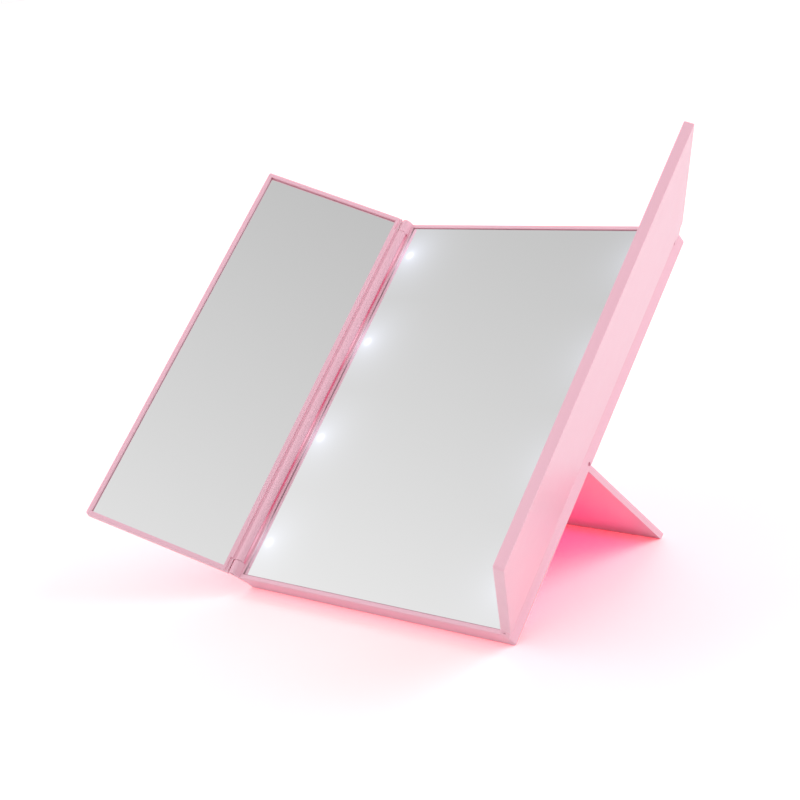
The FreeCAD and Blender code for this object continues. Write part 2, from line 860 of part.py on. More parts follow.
def wing_tape():
    inset = glass_gap + tape_inset
    return wing_block(
        wing_glass_start + inset, wing_end - wing_rim - inset,
        wing_rim + inset, panel_height - wing_rim - inset,
        wing_glass_outer, wing_glass_outer + tape_thickness,
    )


def wing_opening(angle):
    """Turns the closed right wing open by an angle."""
    return Placement(
        Vector(0, 0, 0), Rotation(Vector(0, 0, 1), angle), place(hinge_x, 0, hinge_d)
    )


def hinge_pin(v0, v1):
    """A steel pin through one ear on the right side and into the wing's barrel."""
    if v0 > 0:
        return upright_rod(
            hinge_x, hinge_d, v0 - ear_gap - hinge_pin_reach, v1 - hinge_pin_sink,
            hinge_pin_radius,
        )
    return upright_rod(
        hinge_x, hinge_d, v0 + hinge_pin_sink, v1 + ear_gap + hinge_pin_reach, hinge_pin_radius
    )


# ---------------------------------------------------------------- assembly
def turned(shape, placement):
    """A copy of the shape, moved."""
    moved = shape.copy()
    moved.Placement = placement.multiply(moved.Placement)
    return moved


def upright_pieces():
    """Every node's shape in upright panel coordinates, with the wings and the stand open."""
    pieces = {
        "front_housing": front_housing(),
        "rear_cover": rear_cover(),
        "case_screws": case_screws(),
        "centre_mirror": centre_glass(),
        "centre_tape": centre_tape(),
        "led_resistors": led_resistors(),
        "coin_cell_left": mirrored(coin_cell()),
        "coin_cell_right": coin_cell(),
        "minus_contact": minus_contact(),
        "plus_contact": plus_contact(),
        "battery_door": battery_door(),
        "battery_door_screw": battery_door_screw(),
        "switch_body": switch_body(),
        "switch_leads": switch_leads(),
        "power_button": power_button(),
        "plus_wire": plus_wire(),
        "switched_wire": switched_wire(),
        "minus_wire": minus_wire(),
        "link_wires": link_wires(),
    }
    bottom_ear, top_ear = ear_spans()
    paired = {
        "light_diffusers": light_diffusers(),
        "led_board": led_board(),
        "leds": leds(),
        "hinge_pin_bottom": hinge_pin(*bottom_ear),
        "hinge_pin_top": hinge_pin(*top_ear),
    }
    for name, shape in paired.items():
        pieces[name + "_left"] = mirrored(shape)
        pieces[name + "_right"] = shape
    pieces["stand_leg"] = turned(stand_leg(), stand_opening()).cut(below_the_table())
    open_pin = turned(stand_pin(), stand_opening())
    pieces["stand_pin_left"] = mirrored(open_pin)
    pieces["stand_pin_right"] = open_pin
    wing = {"wing_shell": wing_shell(), "wing_mirror": wing_glass(), "wing_tape": wing_tape()}
    for name, shape in wing.items():
        pieces["left_" + name] = mirrored(turned(shape, wing_opening(left_wing_angle)))
        pieces["right_" + name] = turned(shape, wing_opening(right_wing_angle))
    return pieces


os.makedirs("parts", exist_ok=True)
for node, upright in upright_pieces().items():
    leaned = turned(upright, lean_placement())
    leaned.exportStep("parts/" + node + ".step")
    volume = round(leaned.Volume, 2)
    print(node, "solids", len(leaned.Solids), "valid", leaned.isValid(), "volume", volume)

rest_u = Vector(0, math.sin(lean), math.cos(lean))
print("lean", round(math.degrees(lean), 3), "degrees")
print("panel direction", [round(c, 6) for c in rest_u])
for label, point in (
    ("right hinge", place(hinge_x, 0, hinge_d)),
    ("stand pivot", place(0, pivot_height, pivot_depth)),
    ("button", place(switch_side, switch_height, 0)),
    ("foot", place(0, foot_v, foot_d)),
):
    where = lean_placement().multVec(point)
    print(label, [round(c, 4) for c in where])
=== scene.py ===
import math

import bmesh
import bpy
from mathutils import Matrix, Vector


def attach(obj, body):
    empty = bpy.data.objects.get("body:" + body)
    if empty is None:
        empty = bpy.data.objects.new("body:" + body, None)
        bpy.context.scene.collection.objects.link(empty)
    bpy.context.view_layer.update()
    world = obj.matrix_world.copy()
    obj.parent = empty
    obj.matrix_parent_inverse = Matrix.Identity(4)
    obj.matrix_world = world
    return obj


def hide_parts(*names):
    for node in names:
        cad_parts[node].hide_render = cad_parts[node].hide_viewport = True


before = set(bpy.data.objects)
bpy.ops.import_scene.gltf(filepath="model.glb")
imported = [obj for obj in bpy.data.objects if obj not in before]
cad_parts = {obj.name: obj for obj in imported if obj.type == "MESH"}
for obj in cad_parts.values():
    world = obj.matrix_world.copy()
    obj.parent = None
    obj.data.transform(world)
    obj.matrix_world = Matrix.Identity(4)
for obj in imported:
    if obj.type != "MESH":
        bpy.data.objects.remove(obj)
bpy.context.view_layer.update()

print("frame loaded:", len(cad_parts), "nodes")

# Everything is modelled in millimetres with the panel upright and its wings closed: x across,
# y backwards and z up, so a point is given as at(x, v, d), with v up the panel from its lower
# edge and d forward from its rear face. The place matrices then set it in the frame, in metres.
metre = 1000.0  # millimetres
panel = {"halfWidth": 70.0, "height": 184.0, "depth": 10.0, "cornerRadius": 1.0}
lie = {"lean": 50.458, "back": 0.095, "drop": 0.491}
hinge = {"x": 71.7, "d": 11.8, "radius": 2.0, "leftAngle": 148.5, "rightAngle": 119.0}
stand = {"pivotV": 77.0, "pivotD": 1.6, "openAngle": 94.0}

panelPlace = (
    Matrix.Scale(1 / metre, 4)
    @ Matrix.Translation((0, -lie["back"], -lie["drop"]))
    @ Matrix.Rotation(math.radians(-lie["lean"]), 4, "X")
)


def at(x, v, d):
    return Vector((x, -d, v))


def turnedAbout(point, angle, axis):
    turn = Matrix.Rotation(math.radians(angle), 4, axis)
    return Matrix.Translation(point) @ turn @ Matrix.Translation(-point)


hingePoint = at(hinge["x"], 0, hinge["d"])
rightWingPlace = panelPlace @ turnedAbout(hingePoint, hinge["rightAngle"], "Z")
leftWingPlace = (
    panelPlace
    @ Matrix.Scale(-1, 4, (1, 0, 0))
    @ turnedAbout(hingePoint, hinge["leftAngle"], "Z")
)
standPivot = at(0, stand["pivotV"], stand["pivotD"])
standPlace = panelPlace @ turnedAbout(standPivot, stand["openAngle"], "X")


# a socket whose sums and products add the nodes that work them out
class Signal:
    def __init__(self, finish, socket):
        self.finish = finish
        self.socket = socket

    def maths(self, operation, *values):
        return self.finish.node("ShaderNodeMath", {"operation": operation}, dict(enumerate(values)))

    def __add__(self, other):
        return self.maths("ADD", self, other)

    def __radd__(self, other):
        return self.maths("ADD", other, self)

    def __sub__(self, other):
        return self.maths("SUBTRACT", self, other)

    def __rsub__(self, other):
        return self.maths("SUBTRACT", other, self)

    def __mul__(self, other):
        return self.maths("MULTIPLY", self, other)

    def __rmul__(self, other):
        return self.maths("MULTIPLY", other, self)

    def __truediv__(self, other):
        return self.maths("DIVIDE", self, other)

    def __rtruediv__(self, other):
        return self.maths("DIVIDE", other, self)

    def __pow__(self, other):
        return self.maths("POWER", self, other)

    def __rpow__(self, other):
        return self.maths("POWER", other, self)

    def __abs__(self):
        return self.maths("ABSOLUTE", self)


# the nodes of one material or world
class Finish:
    def __init__(self, tree):
        self.tree = tree
        self.tree.nodes.clear()

    def node(self, kind, settings, inputs, output=0):
        made = self.tree.nodes.new(kind)
        for name, value in settings.items():
            setattr(made, name, value)
        for name, value in inputs.items():
            if isinstance(value, Signal):
                self.tree.links.new(value.socket, made.inputs[name])
            else:
                made.inputs[name].default_value = value
        return Signal(self, made.outputs[output]) if made.outputs else None

    def blend(self, amount, first, second):
        # Mix node in colour mode: its factor, A and B sockets are numbers 0, 6 and 7
        return self.node(
            "ShaderNodeMix", {"data_type": "RGBA"}, {0: amount, 6: first, 7: second}, output=2
        )

    def noise(self, where, scale, detail, roughness=0.5):
        return self.node(
            "ShaderNodeTexNoise", {},
            {"Vector": where, "Scale": scale, "Detail": detail, "Roughness": roughness},
        )

    def bump(self, height, distance, strength=1.0):
        return self.node(
            "ShaderNodeBump", {},
            {"Height": height, "Distance": distance, "Strength": strength},
        )


def newFinish(name):
    material = bpy.data.materials.new(name)
    material.use_nodes = True
    finish = Finish(material.node_tree)
    finish.material = material
    finish.place = finish.node("ShaderNodeTexCoord", {}, {}, output="Object")
    return finish


def shade(finish, values):
    # values go to the Principled shader's sockets, as constants or as links
    surface = finish.node("ShaderNodeBsdfPrincipled", {}, values)
    finish.node("ShaderNodeOutputMaterial", {}, {"Surface": surface})
    return finish.material


def deeper(colour, share):
    return tuple(channel * share for channel in colour[:3]) + (1,)


mouldedPink = {
    "colour": (0.90, 0.535, 0.635, 1), "deepColour": (0.89, 0.515, 0.615, 1), "cloudScale": 18.0,
    "roughness": 0.34, "rubbing": 0.12, "rubScale": 140.0, "ior": 1.5,
    "grainSize": 0.0005, "grainDepth": 0.000012, "flowScale": 60.0, "flowDepth": 4.0,
}


def mouldedPlastic(name, values):
    finish = newFinish(name)
    cloudy = finish.noise(finish.place, values["cloudScale"], detail=2.0)
    colour = finish.blend(cloudy, values["colour"], values["deepColour"])
    grain = finish.noise(finish.place, 1 / values["grainSize"], detail=2.0)
    flow = finish.noise(finish.place, values["flowScale"], detail=1.0)
    rubbed = finish.noise(finish.place, values["rubScale"], detail=4.0, roughness=0.65)
    relief = grain + flow * values["flowDepth"]
    return shade(finish, {
        "Base Color": colour,
        "Roughness": values["roughness"] + (rubbed - 0.5) * values["rubbing"],
        "IOR": values["ior"],
        "Normal": finish.bump(relief, values["grainDepth"], strength=0.5),
    })


lights = {  # the two columns of four behind the centre glass
    "x": 62.9, "heights": (17.6, 69.4, 119.4, 166.6),
    "core": 1.25, "coreLevel": 0.85, "coreEdge": 4.0,
    "halo": 8.5, "haloLow": 0.17, "haloHigh": 0.38, "haloBase": 2.718,
    "colour": (0.92, 1.0, 1.28),
}


def besideLights(finish):
    # millimetres from the two columns of lights, and up the panel from the nearest light
    upright = finish.node(
        "ShaderNodeMapping", {"vector_type": "POINT"},
        {"Vector": finish.place, "Rotation": (math.radians(lie["lean"]), 0, 0)},
    )
    x = finish.node("ShaderNodeSeparateXYZ", {}, {0: upright}, output=0)
    v = finish.node("ShaderNodeSeparateXYZ", {}, {0: upright}, output=2) * metre
    across = abs(x) * metre - lights["x"]
    along = abs(v - lights["heights"][0])
    for height in lights["heights"][1:]:
        along = along.maths("MINIMUM", along, abs(v - height))
    return across, along, v


spill = {"near": 2.0, "far": 15.0}  # how far a light's painted spill reaches along the edge of the glass


def paintedSpillAndShade(name, closeColour, farShadeColour, closeGlow, farGlow):
    # plastic beside the lights, with painted light and shade: its own colour and a painted glow
    # close to each light, a deeper pink painted shade and a weaker painted glow farther off
    finish = newFinish(name)
    along = besideLights(finish)[1]
    away = (along - spill["near"]) / (spill["far"] - spill["near"])
    away = finish.node("ShaderNodeClamp", {}, {"Value": away})
    grain = finish.noise(finish.place, 1 / mouldedPink["grainSize"], detail=2.0)
    return shade(finish, {
        "Base Color": finish.blend(away, closeColour, farShadeColour),
        "Roughness": mouldedPink["roughness"] + (grain - 0.5) * mouldedPink["rubbing"],
        "IOR": mouldedPink["ior"],
        "Emission Color": finish.blend(away, closeGlow, farGlow),
        "Emission Strength": 1.0,
    })


silvered = {
    "colour": (0.935, 0.935, 0.935, 1), "haze": 0.012, "smudge": 0.03, "smudgeCurve": 3.0,
    "wipeScale": 26.0,
}


def mirrorSurface(finish, values):
    wipe = finish.noise(finish.place, values["wipeScale"], detail=5.0, roughness=0.6)
    return {
        "Base Color": values["colour"],
        "Metallic": 1.0,
        "Roughness": values["haze"] + values["smudge"] * wipe ** values["smudgeCurve"],
    }


def mirrorGlass(name, values):
    finish = newFinish(name)
    return shade(finish, mirrorSurface(finish, values))


def litMirrorGlass(name, values):
    # the centre glass, with a glow and halo painted on it over each light behind it, the halo
    # brighter up the panel
    finish = newFinish(name)
    across, along, v = besideLights(finish)
    distance = (across * across + along * along) ** 0.5
    core = lights["coreLevel"] / (1 + (distance / lights["core"]) ** lights["coreEdge"])
    level = lights["haloLow"] + v * (lights["haloHigh"] - lights["haloLow"]) / panel["height"]
    halo = level * lights["haloBase"] ** (distance / -lights["halo"])
    colour = finish.node(
        "ShaderNodeVectorMath", {"operation": "SCALE"},
        {0: lights["colour"], "Scale": core + halo},
    )
    return shade(finish, {
        **mirrorSurface(finish, values),
        "Emission Color": colour,
        "Emission Strength": 1.0,
    })


cutGlass = {
    "darkColour": (0.10, 0.12, 0.12, 1), "paleColour": (0.20, 0.23, 0.22, 1),
    "roughness": 0.35, "unevenness": 0.2, "ior": 1.52, "gritScale": 2600.0, "gritDepth": 0.00002,
}


def groundEdge(name, values):
    finish = newFinish(name)
    grit = finish.noise(finish.place, values["gritScale"], detail=2.0)
    return shade(finish, {
        "Base Color": finish.blend(grit, values["darkColour"], values["paleColour"]),
        "Roughness": values["roughness"] + grit * values["unevenness"],
        "IOR": values["ior"],
        "Normal": finish.bump(grit, values["gritDepth"]),
    })


plating = {"dullScale": 220.0, "dullShare": 0.86, "unevenness": 0.2, "drawnDepth": 0.000006}


def platedSteel(name, colour, roughness, grain=1800.0):
    finish = newFinish(name)
    drawn = finish.noise(finish.place, grain, detail=3.0)
    dull = finish.noise(finish.place, plating["dullScale"], detail=3.0)
    return shade(finish, {
        "Base Color": finish.blend(dull, colour, deeper(colour, plating["dullShare"])),
        "Metallic": 1.0,
        "Roughness": roughness + (drawn - 0.5) * plating["unevenness"],
        "Normal": finish.bump(drawn, plating["drawnDepth"], strength=0.4),
    })


moulding = {"mottleScale": 90.0, "mottleShare": 0.84, "unevenness": 0.16, "grainDepth": 0.00001}


def plainMoulding(name, colour, roughness, speck=900.0):
    finish = newFinish(name)
    mottle = finish.noise(finish.place, moulding["mottleScale"], detail=3.0)
    grain = finish.noise(finish.place, speck, detail=2.0)
    return shade(finish, {
        "Base Color": finish.blend(mottle, colour, deeper(colour, moulding["mottleShare"])),
        "Roughness": roughness + (grain - 0.5) * moulding["unevenness"],
        "Normal": finish.bump(grain, moulding["grainDepth"], strength=0.5),
    })


chip = {
    "colours": ((0.95, 0.92, 0.70, 1), (0.98, 0.96, 0.82, 1)), "roughness": 0.35,
    "glows": ((0.80, 0.90, 1.0, 1), (0.95, 0.98, 1.0, 1)), "glowLevel": 2.0,
    "phosphorScale": 2500.0,
}


def glowingChip(name, values):
    # a light's pale phosphor, which shines all over
    finish = newFinish(name)
    phosphor = finish.noise(finish.place, values["phosphorScale"], detail=2.0)
    return shade(finish, {
        "Base Color": finish.blend(phosphor, *values["colours"]),
        "Roughness": values["roughness"],
        "Emission Color": finish.blend(phosphor, *values["glows"]),
        "Emission Strength": values["glowLevel"],
    })


pinkPlastic = mouldedPlastic("pinkPlastic", mouldedPink)
buttonPlastic = mouldedPlastic("buttonPlastic", {
    **mouldedPink, "colour": (0.88, 0.33, 0.47, 1), "deepColour": (0.86, 0.31, 0.45, 1),
    "roughness": 0.26,
})
# painted shade: a deeper pink for the inner walls of the glass recesses, where shade falls
recessShadePlastic = mouldedPlastic("recessShadePlastic", {
    **mouldedPink, "colour": (0.88, 0.40, 0.50, 1), "deepColour": (0.85, 0.37, 0.47, 1),
})
# painted shade and glow: the shelf by each wing's barrel is deep pink as painted shade in the
# crevice, with a painted glow that is paler close to each light
shelfShadeAndGlow = paintedSpillAndShade(
    "shelfShadeAndGlow", mouldedPink["colour"], (0.95, 0.32, 0.48, 1),
    closeGlow=(0.36, 0.29, 0.33, 1), farGlow=(0.15, 0.03, 0.06, 1),
)
# painted shade and glow: the side walls of the centre glass's recess are darkened as painted shade,
# with a painted glow close to each light
rimWallShadeAndGlow = paintedSpillAndShade(
    "rimWallShadeAndGlow", mouldedPink["colour"], (0.60, 0.33, 0.39, 1),
    closeGlow=(0.25, 0.26, 0.29, 1), farGlow=(0, 0, 0, 1),
)
pinEnamel = mouldedPlastic("pinEnamel", {
    **mouldedPink, "colour": (0.80, 0.36, 0.47, 1), "deepColour": (0.76, 0.32, 0.43, 1),
})
wingMirror = mirrorGlass("wingMirror", silvered)
centreMirror = litMirrorGlass("centreMirror", silvered)
glassEdge = groundEdge("glassEdge", cutGlass)
pinSteel = platedSteel("pinSteel", (0.62, 0.62, 0.62, 1), 0.3)
screwSteel = platedSteel("screwSteel", (0.60, 0.60, 0.61, 1), 0.32)
cellSteel = platedSteel("cellSteel", (0.72, 0.72, 0.70, 1), 0.28, grain=600.0)
contactPlating = platedSteel("contactPlating", (0.80, 0.79, 0.75, 1), 0.2)
foamTape = plainMoulding("foamTape", (0.85, 0.85, 0.83, 1), 0.8, speck=1500.0)
frostedAcrylic = plainMoulding("frostedAcrylic", (0.95, 0.96, 0.98, 1), 0.55)
boardMask = plainMoulding("boardMask", (0.84, 0.88, 0.85, 1), 0.4)
resistorCeramic = plainMoulding("resistorCeramic", (0.05, 0.05, 0.06, 1), 0.5)
switchBlack = plainMoulding("switchBlack", (0.03, 0.03, 0.035, 1), 0.45)
redWire = plainMoulding("redWire", (0.55, 0.03, 0.03, 1), 0.4)
blackWire = plainMoulding("blackWire", (0.02, 0.02, 0.02, 1), 0.4)
lightChip = glowingChip("lightChip", chip)
print("finishes made")


near = 0.01  # a point this close to a plane counts as on it
sameWay = 0.99  # faces whose normals agree this far look one way
weld = 0.0005  # points closer than this become one
overshoot = 1  # cutters reach this far past what they cut
creaseAngle = 50  # edges that turn by more are rounded off
sharpAngle = 40  # edges that turn by more are shaded sharp
trim = 1e-7  # metres from the table at which a point lies on it
fineness = {  # segments of each round
    "bar": 32, "ear": 16, "barrel": 20, "corner": 6, "glassCorner": 4, "knuckle": 8,
    "edge": 3, "fineEdge": 2, "arris": 1,
}
rightward, leftward = Vector((1, 0, 0)), Vector((-1, 0, 0))
backward, forward = Vector((0, 1, 0)), Vector((0, -1, 0))
upward, downward = Vector((0, 0, 1)), Vector((0, 0, -1))


def slab(x0, x1, v0, v1, d0, d1):
    bm = bmesh.new()
    bmesh.ops.create_cube(bm, size=1)
    bmesh.ops.scale(bm, vec=(x1 - x0, d1 - d0, v1 - v0), verts=bm.verts)
    middle = at((x0 + x1) / 2, (v0 + v1) / 2, (d0 + d1) / 2)
    bmesh.ops.translate(bm, vec=middle, verts=bm.verts)
    return bm


def bar(start, end, radius):
    # a round bar between two points
    bm = bmesh.new()
    run = end - start
    bmesh.ops.create_cone(
        bm, cap_ends=True, segments=fineness["bar"], radius1=radius, radius2=radius,
        depth=run.length,
    )
    turn = upward.rotation_difference(run).to_matrix()
    bmesh.ops.rotate(bm, matrix=turn, verts=bm.verts)
    bmesh.ops.translate(bm, vec=(start + end) / 2, verts=bm.verts)
    return bm


def cutAcross(bm, point, normal):
    bmesh.ops.bisect_plane(
        bm, geom=bm.verts[:] + bm.edges[:] + bm.faces[:], plane_co=point, plane_no=normal
    )


def pull(bm, faces, move):
    # extrudes a patch of faces by a vector; with its edges, the patch leaves no face behind
    edges = list(dict.fromkeys(edge for face in faces for edge in face.edges))
    made = bmesh.ops.extrude_face_region(bm, geom=faces + edges)["geom"]
    moved = [item for item in made if isinstance(item, bmesh.types.BMVert)]
    bmesh.ops.translate(bm, vec=move, verts=moved)


def column(outline, v0, v1):
    # a bar up the panel over an outline of (x, d) points
    bm = bmesh.new()
    base = bm.faces.new([bm.verts.new(at(x, v0, d)) for x, d in outline])
    pull(bm, [base], (0, 0, v1 - v0))
    bmesh.ops.recalc_face_normals(bm, faces=bm.faces)
    return bm


def facing(bm, direction, test):
    # faces that look one way and whose middle passes the test on (x, v, d)
    bm.normal_update()
    found = []
    for face in bm.faces:
        middle = face.calc_center_median()
        if face.normal.dot(direction) > sameWay and test(middle.x, middle.z, -middle.y):
            found.append(face)
    return found


def paint(bm, directions, test, slot):
    # gives the faces that facing() finds another of the piece's materials
    for direction in directions:
        for face in facing(bm, direction, test):
            face.material_index = slot


def runBack(edge):
    # how far an edge runs from front to back
    return abs(edge.verts[0].co.y - edge.verts[1].co.y)


def creases(bm, test):
    # outward edges that turn sharply and whose ends pass the test on (x, v, d)
    bm.normal_update()
    found = []
    for edge in bm.edges:
        if not edge.is_convex or math.degrees(edge.calc_face_angle(0)) < creaseAngle:
            continue
        if all(test(end.co.x, end.co.z, -end.co.y) for end in edge.verts):
            found.append(edge)
    return found


def roundOff(bm, edges, radius, segments=fineness["edge"]):
    bmesh.ops.bevel(
        bm, geom=edges, offset=radius, offset_type="OFFSET", segments=segments, profile=0.5,
        affect="EDGES", clamp_overlap=True, material=-1,
    )


def holder(bm, name):
    mesh = bpy.data.meshes.new(name)
    bm.to_mesh(mesh)
    bm.free()
    thing = bpy.data.objects.new(name, mesh)
    bpy.context.scene.collection.objects.link(thing)
    return thing


def combined(bm, tools, operation):
    # adds or cuts other closed shapes with exact Boolean modifiers
    blank = holder(bm, "blank")
    others = [holder(tool, "tool") for tool in tools]
    for other in others:
        step = blank.modifiers.new("step", "BOOLEAN")
        step.object = other
        step.operation = operation
        step.solver = "EXACT"
    bpy.context.view_layer.update()
    made = bpy.data.meshes.new_from_object(
        blank.evaluated_get(bpy.context.evaluated_depsgraph_get())
    )
    result = bmesh.new()
    result.from_mesh(made)
    for thing in [blank, *others]:
        mesh = thing.data
        bpy.data.objects.remove(thing)
        bpy.data.meshes.remove(mesh)
    bpy.data.meshes.remove(made)
    bmesh.ops.remove_doubles(result, verts=result.verts, dist=weld)
    bmesh.ops.dissolve_degenerate(result, edges=result.edges, dist=weld)
    return result


def setOnTable(bm):
    # trims what would reach below the table, in the frame
    bmesh.ops.bisect_plane(
        bm, geom=bm.verts[:] + bm.edges[:] + bm.faces[:], dist=trim,
        plane_co=(0, 0, 0), plane_no=downward, clear_outer=True,
    )
    bmesh.ops.holes_fill(bm, edges=[edge for edge in bm.edges if edge.is_boundary])


def newPiece(name, bm, place, body, materials, nodes, onTable=False):
    bmesh.ops.transform(bm, matrix=place, verts=bm.verts)
    if place.determinant() < 0:
        bmesh.ops.reverse_faces(bm, faces=bm.faces)
    if onTable:
        setOnTable(bm)
    for face in bm.faces:
        face.smooth = True
    piece = holder(bm, name)
    piece.data.set_sharp_from_angle(angle=math.radians(sharpAngle))
    for material in materials:
        piece.data.materials.append(material)
    even = piece.modifiers.new("even normals", "WEIGHTED_NORMAL")
    even.keep_sharp = True
    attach(piece, body)
    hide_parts(*nodes)


# The centre panel's front housing. Its ears and shelves reach into its walls by the inset.
housing = {
    "wall": 1.7, "deckBack": 6.1, "deckFront": 7.3,
    "outerRound": 0.4, "innerRound": 0.18, "inset": 0.5,
    "earHeight": 6.12, "earRoot": 5.0, "earRound": 0.35, "earTangent": 30,
    "pinHole": 0.75, "standHole": 0.86,
    "shelfReach": 2.0, "shelfGap": 0.4, "shelfThickness": 0.6, "shelfRound": 0.15,
    "shelfOverlap": 0.2,
}
shelfTop = hinge["d"] - hinge["radius"] - housing["shelfGap"]


def hingeEar(v0, v1):
    bm = bmesh.new()
    tangent = math.radians(housing["earTangent"])
    start = hingePoint + at(
        hinge["radius"] * math.cos(tangent), v0, -hinge["radius"] * math.sin(tangent)
    )
    bmesh.ops.spin(
        bm, geom=[bm.verts.new(start)], cent=at(hinge["x"], v0, hinge["d"]), axis=upward,
        angle=-math.pi, steps=fineness["ear"],
    )
    bm.verts.ensure_lookup_table()
    chain = bm.verts[:]
    inner = panel["halfWidth"] - housing["inset"]
    for x, d in (
        (inner, panel["depth"]),
        (inner, housing["earRoot"]),
        (panel["halfWidth"], housing["earRoot"]),
    ):
        chain.append(bm.verts.new(at(x, v0, d)))
    lug = bm.faces.new(chain)
    pull(bm, [lug], (0, 0, v1 - v0))
    bmesh.ops.recalc_face_normals(bm, faces=bm.faces)
    roundOff(bm, creases(bm, lambda x, v, d: x > inner + near), housing["earRound"])
    return bm


def hingeShelf():
    # closes the view past the wing's barrel
    side, reach = panel["halfWidth"], housing["shelfReach"]
    inner = side - housing["inset"]
    outline = [
        (inner, shelfTop), (inner, shelfTop - reach), (side, shelfTop - reach),
        (side + reach, shelfTop - housing["shelfThickness"]), (side + reach, shelfTop),
    ]
    bm = column(
        outline,
        housing["earHeight"] - housing["shelfOverlap"],
        panel["height"] - housing["earHeight"] + housing["shelfOverlap"],
    )
    tip = creases(bm, lambda x, v, d: x > side + reach - near)
    roundOff(bm, tip, housing["shelfRound"], fineness["fineEdge"])
    return bm


def mirroredCopy(bm):
    other = bm.copy()
    bmesh.ops.scale(other, vec=(-1, 1, 1), verts=other.verts)
    bmesh.ops.reverse_faces(other, faces=other.faces)
    return other


def housingTray():
    half, high, deep = panel["halfWidth"], panel["height"], panel["depth"]
    wall = housing["wall"]
    bm = slab(-half, half, 0, high, 0, deep)
    for side in (-1, 1):
        cutAcross(bm, at(side * (half - wall), 0, 0), rightward)
    for v in (wall, high - wall):
        cutAcross(bm, at(0, v, 0), upward)

    def insideRim(x, v, d):
        return abs(x) < half - wall and wall < v < high - wall

    def atCorner(x, v, d):
        return abs(x) > half - near and (v < near or v > high - near)

    def onOutline(x, v, d):
        return not (abs(x) < half - wall + near and wall - near < v < high - wall + near)

    def atFrontOrRear(x, v, d):
        return d > deep - near or d < near

    pull(bm, facing(bm, forward, insideRim), (0, deep - housing["deckFront"], 0))
    pull(bm, facing(bm, backward, insideRim), (0, -housing["deckBack"], 0))
    corners = [edge for edge in creases(bm, atCorner) if runBack(edge) > deep / 2]
    roundOff(bm, corners, panel["cornerRadius"], fineness["corner"])
    roundOff(bm, creases(bm, onOutline), housing["outerRound"])
    roundOff(bm, creases(bm, atFrontOrRear), housing["innerRound"], fineness["fineEdge"])
    return bm


def housingHoles():
    # for the four hinge pins and the stand's two
    half, high, ear = panel["halfWidth"], panel["height"], housing["earHeight"]
    holes = []
    for side in (-1, 1):
        x = side * hinge["x"]
        for v0, v1 in ((-overshoot, ear + overshoot), (high - ear - overshoot, high + overshoot)):
            holes.append(bar(at(x, v0, hinge["d"]), at(x, v1, hinge["d"]), housing["pinHole"]))
        inside = at(side * (half - housing["wall"] - overshoot), stand["pivotV"], stand["pivotD"])
        outside = at(side * (half + overshoot), stand["pivotV"], stand["pivotD"])
        holes.append(bar(inside, outside, housing["standHole"]))
    return holes


def frontHousing():
    half, high, wall = panel["halfWidth"], panel["height"], housing["wall"]
    ears = []
    for v0, v1 in ((0, housing["earHeight"]), (high - housing["earHeight"], high)):
        ear = hingeEar(v0, v1)
        ears += [mirroredCopy(ear), ear]
    shelf = hingeShelf()
    bm = combined(housingTray(), [*ears, mirroredCopy(shelf), shelf], "UNION")
    bm = combined(bm, housingHoles(), "DIFFERENCE")

    def onShelf(x, v, d):
        return abs(x) > half and abs(d - shelfTop) < near

    def onRimWall(x, v, d):
        atSide = abs(abs(x) - half + wall) < 2 * near
        atEnd = min(abs(v - wall), abs(v - high + wall)) < 2 * near
        return (atSide or atEnd) and d > housing["deckFront"]

    # the shelf and the recess walls get the materials with painted shade, and with painted glow
    # near the lights
    paint(bm, [forward], onShelf, 1)
    paint(bm, [rightward, leftward], onRimWall, 2)
    paint(bm, [upward, downward], onRimWall, 3)
    return bm


newPiece(
    "frontHousing", frontHousing(), panelPlace, "centre_panel",
    [pinkPlastic, shelfShadeAndGlow, rimWallShadeAndGlow, recessShadePlastic], ["front_housing"],
    onTable=True,
)
print("front housing made")


# The wings, as the right one lies when it's closed: a runs from the hinge to its free end, and
# b forward from the hinge pin.
wing = {
    "inner": -1.5, "outer": 2.5, "end": 70.5, "rim": 1.9,
    "neckEnd": 2.8, "neckStep": 0.7, "glassStart": 5.0, "earSide": 2.4, "rimNotch": 3.7,
    "earClear": 6.22,
    "wellDepth": 2.7, "outerRound": 0.4, "innerRound": 0.18, "bore": 0.8, "boreDepth": 5.5,
}


def onWing(a, v, b):
    return at(hinge["x"] - a, v, hinge["d"] + b)


